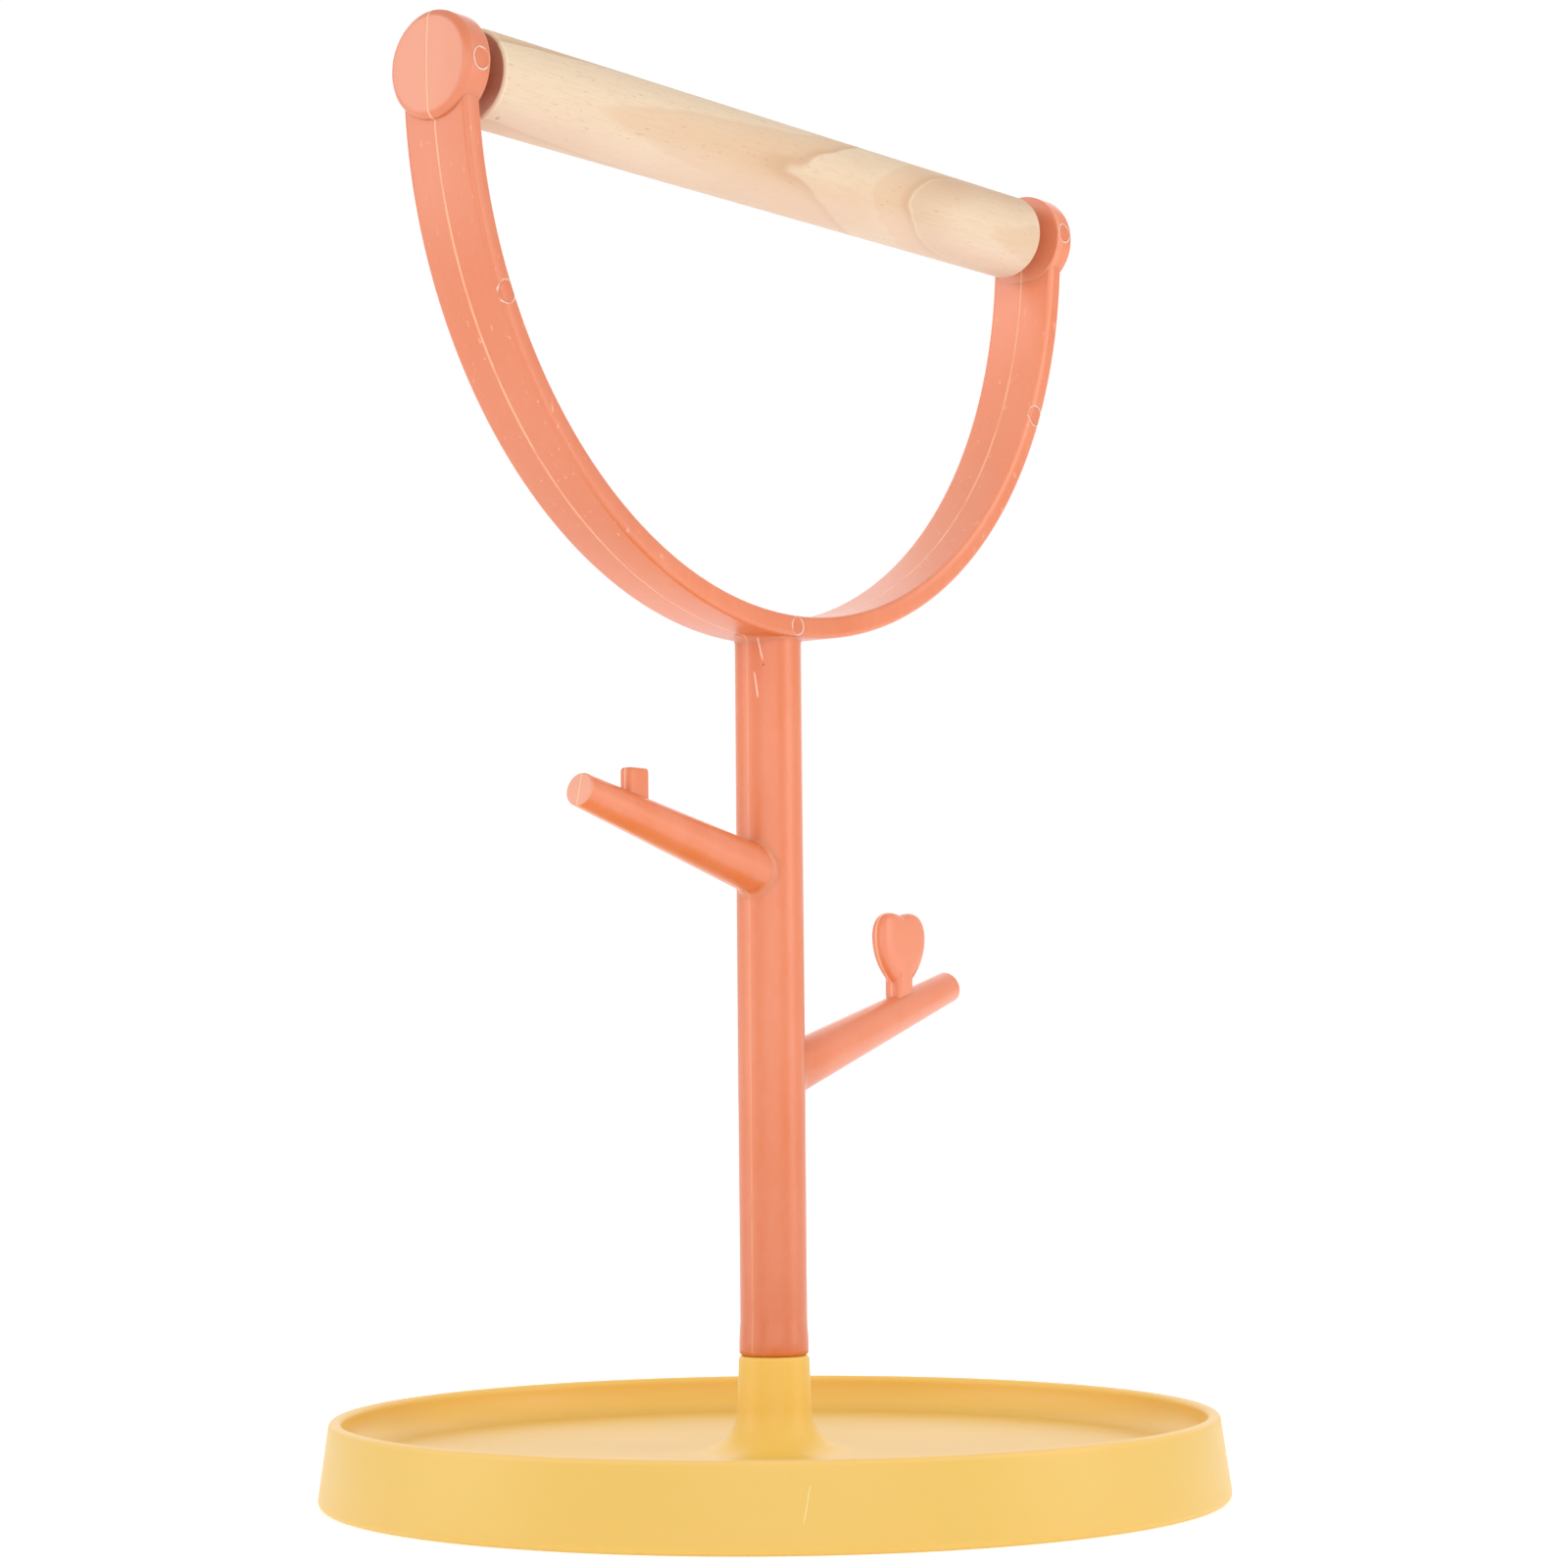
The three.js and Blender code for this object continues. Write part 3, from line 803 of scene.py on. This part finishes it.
# %% Yellow finish
def yellow_plastic():
    finish = Finish(
        "yellow_plastic",
        Roughness=0.4,
        IOR=1.49,
        Subsurface_Weight=0.25,
        Subsurface_Radius=(1.0, 0.7, 0.3),
        Subsurface_Scale=0.003,
    )
    cloud = finish.noise(30, detail=2)
    flow = finish.noise(12, detail=3)
    grain = finish.noise(0.5, detail=2)
    radius = span(finish.x, finish.y)
    deep = (0.745, 0.465, 0.09)
    fair = (0.78, 0.49, 0.11)
    colour = finish.mix(cloud * 0.5 + flow * 0.5, deep, fair)
    at_top = finish.z.smooth(TRAY_HEIGHT - 1.1, TRAY_HEIGHT - 0.3)
    below_top = finish.z.smooth(TRAY_HEIGHT - 1.1, TRAY_HEIGHT - 0.3, 1, 0)
    # Painted light and shade: a painted highlight on the rim's inner edge, painted light on the boss
    # and inner wall where the walls shade them, painted shade over the outer wall.
    rim = radius.smooth(INNER_RADIUS - 0.1, INNER_RADIUS + 0.6) * at_top
    boss = radius.smooth(7, 22, 1, 0) * finish.z.smooth(6, 9)
    inner_wall = radius.smooth(70, 75) * radius.smooth(76.0, 76.6, 1, 0) * finish.z.smooth(8.2, 10)
    outer_wall = radius.smooth(76.8, 77.8) * below_top
    # A short scratch low on the wall, on the side that faces the camera.
    across, behind = view_axes(finish)
    slant = abs(across - 5.1 - (finish.z - 7.5) * 0.18).smooth(0.04, 0.16, 1, 0)
    scratch = slant * abs(finish.z - 7.8).smooth(2.2, 3.2, 1, 0) * behind.smooth(-70, -68, 1, 0)
    tints = [
        (rim * 0.35, (0.84, 0.58, 0.25)),
        (boss * 0.8, (0.87, 0.56, 0.1)),
        (inner_wall * 0.6, (0.87, 0.56, 0.11)),
        (outer_wall * 0.9, (0.69, 0.455, 0.1)),
        (scratch * 0.6, (0.9, 0.72, 0.42)),
    ]
    finish.connect("Base Color", finish.layers(colour, tints))
    finish.connect("Roughness", flow * 0.08 + grain * 0.05 + 0.33)
    finish.bump(cloud * 0.08 + flow * 0.03 + grain * 0.012 - scratch * 0.05)
    return finish.material


YELLOW = yellow_plastic()

# %% Tray shell
RIB_BOTTOM = 2.5


def tray_shell():
    web_underside = SEAT_FLOOR - WEB_THICKNESS
    floor_underside = FLOOR_HEIGHT - FLOOR_THICKNESS
    foot_inside = TRAY_RADIUS - TRAY_WALL
    well_outside = WELL_RADIUS + WELL_WALL
    outline = rounded(
        [
            (SCREW_HOLE, SEAT_FLOOR),
            (SEAT_RADIUS, SEAT_FLOOR),
            (SEAT_RADIUS, TRUNK_FOOT, 0.3),
            (BOSS_RADIUS, TRUNK_FOOT, 0.7),
            (BOSS_RADIUS + 0.45, FLOOR_HEIGHT, 7.5),
            (INNER_RADIUS, FLOOR_HEIGHT, 5.0),
            (INNER_RADIUS, TRAY_HEIGHT, 1.05),
            (RIM_RADIUS, TRAY_HEIGHT, 1.1),
            (TRAY_RADIUS, 0, 1.1),
            (foot_inside, 0, 0.3),
            (foot_inside - 0.8, floor_underside, 1.2),
            (well_outside, floor_underside, 2.5),
            (well_outside, RIB_BOTTOM, 0.3),
            (WELL_RADIUS, RIB_BOTTOM, 0.3),
            (WELL_RADIUS, web_underside, 0.3),
            (SCREW_HOLE, web_underside, 0.2),
        ],
        closed=True,
        segments=8,
    )
    return turned(outline, 192, closed=True)


# %% Ribs under the floor
RIB_THICKNESS = 1.4
RIB_TOP = 7.0
RIB_INNER_END = 6.0
RIB_OUTER_END = 78.2
RING_RADIUS = 45.0


def straight_rib(angle):
    form = bmesh.new()
    bmesh.ops.create_cube(form, size=1)
    inner, outer = RIB_INNER_END, RIB_OUTER_END
    size = Vector((outer - inner, RIB_THICKNESS, RIB_TOP - RIB_BOTTOM)) * MM
    bmesh.ops.scale(form, vec=size, verts=form.verts)
    centre = Vector(((inner + outer) / 2, 0, (RIB_TOP + RIB_BOTTOM) / 2)) * MM
    bmesh.ops.translate(form, vec=centre, verts=form.verts)
    turn = Matrix.Rotation(angle, 3, "Z")
    bmesh.ops.rotate(form, cent=(0, 0, 0), matrix=turn, verts=form.verts)
    return form


def ring_rib():
    inner, outer = RING_RADIUS - RIB_THICKNESS / 2, RING_RADIUS + RIB_THICKNESS / 2
    corners = [(inner, RIB_TOP), (outer, RIB_TOP), (outer, RIB_BOTTOM, 0.3), (inner, RIB_BOTTOM, 0.3)]
    return turned(rounded(corners, closed=True), 144, closed=True)


# %% Assemble the tray
RIBS = 6
tray_forms = [tray_shell(), ring_rib()]
tray_forms += [straight_rib(2 * math.pi * i / RIBS) for i in range(RIBS)]
gather("tray_moulding", tray_forms, YELLOW, "stand", ["tray"])

# %% [markdown]
# ## The pine perch
# A dowel is cut from a board whose growth rings are almost flat at this size. Rings are drawn as
# distances from the tree's pith, far beside the dowel and a little out of line with it: on the round
# side they come out as long pointed arches, and on the ends as gentle arcs, with no seam between.

# %% Pine finish
PERCH_RADIUS = 8.0
PERCH_LENGTH = 155.0
PERCH_START = -PERCH_LENGTH / 2
RING_SPACING = 10.8
PITH_DISTANCE = 40.0
BARK_SIDE = (-0.928, -0.373)
SPECK = (-74.9, -3.6, 230.8)


def pine():
    finish = Finish("pine", Roughness=0.62, IOR=1.45, Specular_IOR_Level=0.35)
    axis_z = finish.z - PERCH_HEIGHT
    pith_y = finish.y + BARK_SIDE[0] * PITH_DISTANCE
    pith_z = axis_z + BARK_SIDE[1] * PITH_DISTANCE
    depth = span(pith_y, pith_z) - PITH_DISTANCE
    across = finish.y * BARK_SIDE[1] - axis_z * BARK_SIDE[0]
    lean = finish.x * 0.09 + finish.x.smooth(-2, 56, 0, 12)
    ridge = (across**2 + 9.0).math("SQRT") * -0.33 + across * 0.1
    wander = finish.noise(20, detail=3, stretch=(2.2, 0.8, 0.8)) - 0.5
    ripple = finish.noise(4, detail=2, stretch=(4, 1, 1)) - 0.5
    depth = depth + lean + ridge + wander * 3.6 + ripple * 1.0 + 3.4
    ring = (depth / RING_SPACING).math("FRACT")
    late = ring.smooth(0.55, 0.62, 0, 0.6) + ring.smooth(0.62, 0.97, 0, 0.4)
    late = late * ring.smooth(0.955, 1.0, 1, 0)
    line = ring.smooth(0.86, 0.97) * ring.smooth(0.97, 1.0, 1, 0)
    deeper = depth - 21.4
    patch = deeper.smooth(0, 0.5) * deeper.smooth(0.5, 6.0, 1, 0)

    fibre = finish.noise(0.28, detail=3, stretch=(24, 1, 1), roughness=0.65)
    mottle = finish.noise(0.7, detail=2, stretch=(3, 1, 1), offset=(4, 4, 4))
    pore = finish.noise(0.42, detail=1, stretch=(5, 1, 1), offset=(3, 7, 1)).smooth(0.68, 0.76)
    warm = finish.noise(24, detail=2, stretch=(2.2, 1, 1), offset=(11, 3, 5)).smooth(0.42, 0.66)
    apart = {0: finish.place, 1: SPECK}
    reach = finish.node("ShaderNodeVectorMath", {"operation": "DISTANCE"}, apart, output="Value")
    speck = reach.smooth(0.25, 0.55, 1, 0)
    radius = span(finish.y, axis_z)
    past_end = abs(finish.x) + PERCH_START
    # The end faces are darker and redder: partly darker end grain, partly painted shade in the gap
    # beside the heads with a painted reflection of the coral.
    end = past_end.smooth(-0.3, -0.05) * radius.smooth(PERCH_RADIUS - 0.8, PERCH_RADIUS - 0.5, 1, 0)
    eased = past_end.smooth(-0.75, -0.55) * radius.smooth(PERCH_RADIUS - 0.55, PERCH_RADIUS - 0.4)
    # Painted light: the underside of the dowel is made paler, as if lit by the white floor.
    painted_underside_light = axis_z.smooth(-7.6, -2.5, 1, 0)

    cream = (0.68, 0.535, 0.38)
    tan = (0.6, 0.39, 0.24)
    amber = (0.42, 0.22, 0.11)
    fleck = fibre.smooth(0.4, 0.8) * 0.4 + mottle.smooth(0.5, 0.8) * 0.2
    tints = [
        (warm * 0.65, tan),
        (late * 0.8, tan),
        (line * 0.34 + patch * 0.3, amber),
        (fleck, tan),
        (pore * 0.35, amber),
        (speck * 0.8, (0.25, 0.1, 0.04)),
        (end * 0.9, (0.34, 0.11, 0.06)),
        (painted_underside_light * 0.45, (0.76, 0.63, 0.53)),
        (eased * 0.3, (0.84, 0.7, 0.52)),
    ]
    finish.connect("Base Color", finish.layers(cream, tints))
    finish.connect("Roughness", late * -0.08 + fibre * 0.15 + 0.55)
    finish.bump(fibre * 0.05 - pore * 0.03 + mottle * 0.02)
    return finish.material


PINE = pine()

# %% [markdown]
# The dowel is turned as one closed outline with a blind bore in each end for the spigots, so the gap
# that shows beside the heads is a real one; the darkness of its end faces is partly end grain and
# partly painted shade. It rides on its own body, which the hinge turns.

# %% Dowel
BORE_RADIUS = 3.4
BORE_DEPTH = 11.0


def dowel():
    outline = rounded(
        [
            (0, BORE_DEPTH),
            (BORE_RADIUS, BORE_DEPTH),
            (BORE_RADIUS, 0, 0.2),
            (PERCH_RADIUS, 0, 0.6),
            (PERCH_RADIUS, PERCH_LENGTH, 0.6),
            (BORE_RADIUS, PERCH_LENGTH, 0.2),
            (BORE_RADIUS, PERCH_LENGTH - BORE_DEPTH),
            (0, PERCH_LENGTH - BORE_DEPTH),
        ]
    )
    return turned(outline, 96, along_x(1, PERCH_START, PERCH_HEIGHT))


gather("pine_dowel", [dowel()], PINE, "perch", ["perch_dowel"])

# %% [markdown]
# ## Screw and washer
# Seen only from below, the plated screw and its washer keep the engineering model's own shape and get
# a bright zinc finish.

# %% Zinc finish
def zinc():
    finish = Finish("zinc_steel", Metallic=1.0, Roughness=0.32)
    cloud = finish.noise(2.5, detail=3)
    finish.connect("Base Color", finish.mix(cloud, (0.5, 0.52, 0.55), (0.66, 0.67, 0.68)))
    finish.connect("Roughness", cloud * 0.2 + 0.24)
    return finish.material


ZINC = zinc()
for node in ("stem_screw", "screw_washer"):
    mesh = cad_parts[node].data
    mesh.materials.clear()
    mesh.materials.append(ZINC)

# %% [markdown]
# ## Studio
# The stand is photographed on a white sweep. A wide white floor and an even white surround give the
# soft base light, and four large softboxes round the stand give the plastic its broad highlights.

# %% Floor and surround
SWEEP_RADIUS = 6.0
SURROUND_LIGHT = 0.82
SURROUND_SEEN = 1.02

floor_mesh = bpy.data.meshes.new("floor")
floor_form = bmesh.new()
bmesh.ops.create_circle(floor_form, cap_ends=True, segments=96, radius=SWEEP_RADIUS)
floor_form.to_mesh(floor_mesh)
floor_form.free()
floor = bpy.data.objects.new("floor", floor_mesh)
bpy.context.scene.collection.objects.link(floor)
floor_finish = Finish(
    "white_floor",
    Base_Color=(0.9, 0.9, 0.9, 1),
    Roughness=0.8,
    Emission_Color=(1, 1, 1, 1),
    Emission_Strength=0.4,
)
floor_mesh.materials.append(floor_finish.material)

world = bpy.data.worlds.new("white_surround")
bpy.context.scene.world = world
world.use_nodes = True
surround = world.node_tree.nodes["Background"]
surround.inputs["Color"].default_value = (1, 1, 1, 1)
graph = Graph(world.node_tree)
seen = graph.node("ShaderNodeLightPath", output="Is Camera Ray")
values = {"Value": seen, "To Min": SURROUND_LIGHT, "To Max": SURROUND_SEEN}
strength = graph.node("ShaderNodeMapRange", {}, values)
graph.tree.links.new(strength.socket, surround.inputs["Strength"])
bpy.context.scene.view_settings.view_transform = "Standard"

# %% [markdown]
# The camera stands where the photographer's did. Its place, tilt and lens were fitted to the outline
# of the whole stand: a long lens, a little above the tray, looking slightly up at the yoke.

# %% Camera
CAMERA_TURN = math.radians(-51.72)
CAMERA_DISTANCE = 651.0
CAMERA_HEIGHT = 76.05
CAMERA_YAW = math.radians(-0.235)
CAMERA_PITCH = math.radians(4.351)
CAMERA_ROLL = math.radians(-0.524)
CAMERA_LENS = 83.98
SENSOR_WIDTH = 36

camera_data = bpy.data.cameras.new("camera")
camera_data.lens = CAMERA_LENS
camera_data.sensor_width = SENSOR_WIDTH
camera_data.clip_start = 0.01
camera = bpy.data.objects.new("camera", camera_data)
bpy.context.scene.collection.objects.link(camera)
bpy.context.scene.camera = camera
stand_point = Vector((math.sin(CAMERA_TURN), -math.cos(CAMERA_TURN), 0)) * CAMERA_DISTANCE
stand_point.z = CAMERA_HEIGHT
heading = CAMERA_TURN + CAMERA_YAW
level = Matrix.Rotation(heading, 4, "Z") @ Matrix.Rotation(math.pi / 2 + CAMERA_PITCH, 4, "X")
camera.matrix_world = (
    Matrix.Translation(stand_point * MM) @ level @ Matrix.Rotation(CAMERA_ROLL, 4, "Z")
)


# %% [markdown]
# Each softbox is an area light aimed at the middle of the stand and hidden from the camera. The left
# one stands farther off, so that the near arm of the yoke isn't brighter than the tray.

# %% Softboxes
AIM_HEIGHT = 0.13


def softbox(name, turn, height, distance, size, power):
    """A light that faces the stand, in metres and watts; turn is in degrees right of the camera."""
    data = bpy.data.lights.new(name, "AREA")
    data.shape = "RECTANGLE"
    data.size, data.size_y = size
    data.energy = power
    light = bpy.data.objects.new(name, data)
    bpy.context.scene.collection.objects.link(light)
    angle = CAMERA_TURN + math.radians(turn)
    spot = Vector((math.sin(angle) * distance, -math.cos(angle) * distance, height))
    aim = Vector((0, 0, AIM_HEIGHT)) - spot
    light.location = spot
    light.rotation_euler = aim.to_track_quat("-Z", "Y").to_euler()
    light.visible_camera = False


softbox("softbox_left", -80, 0.38, 1.3, (0.8, 1.4), 4.5)
softbox("softbox_right", 75, 0.45, 1.0, (0.5, 1.1), 2.6)
softbox("softbox_back", 180, 0.6, 1.05, (1.4, 0.9), 2.6)
softbox("softbox_front", 5, 0.42, 1.3, (1.4, 0.8), 3.4)
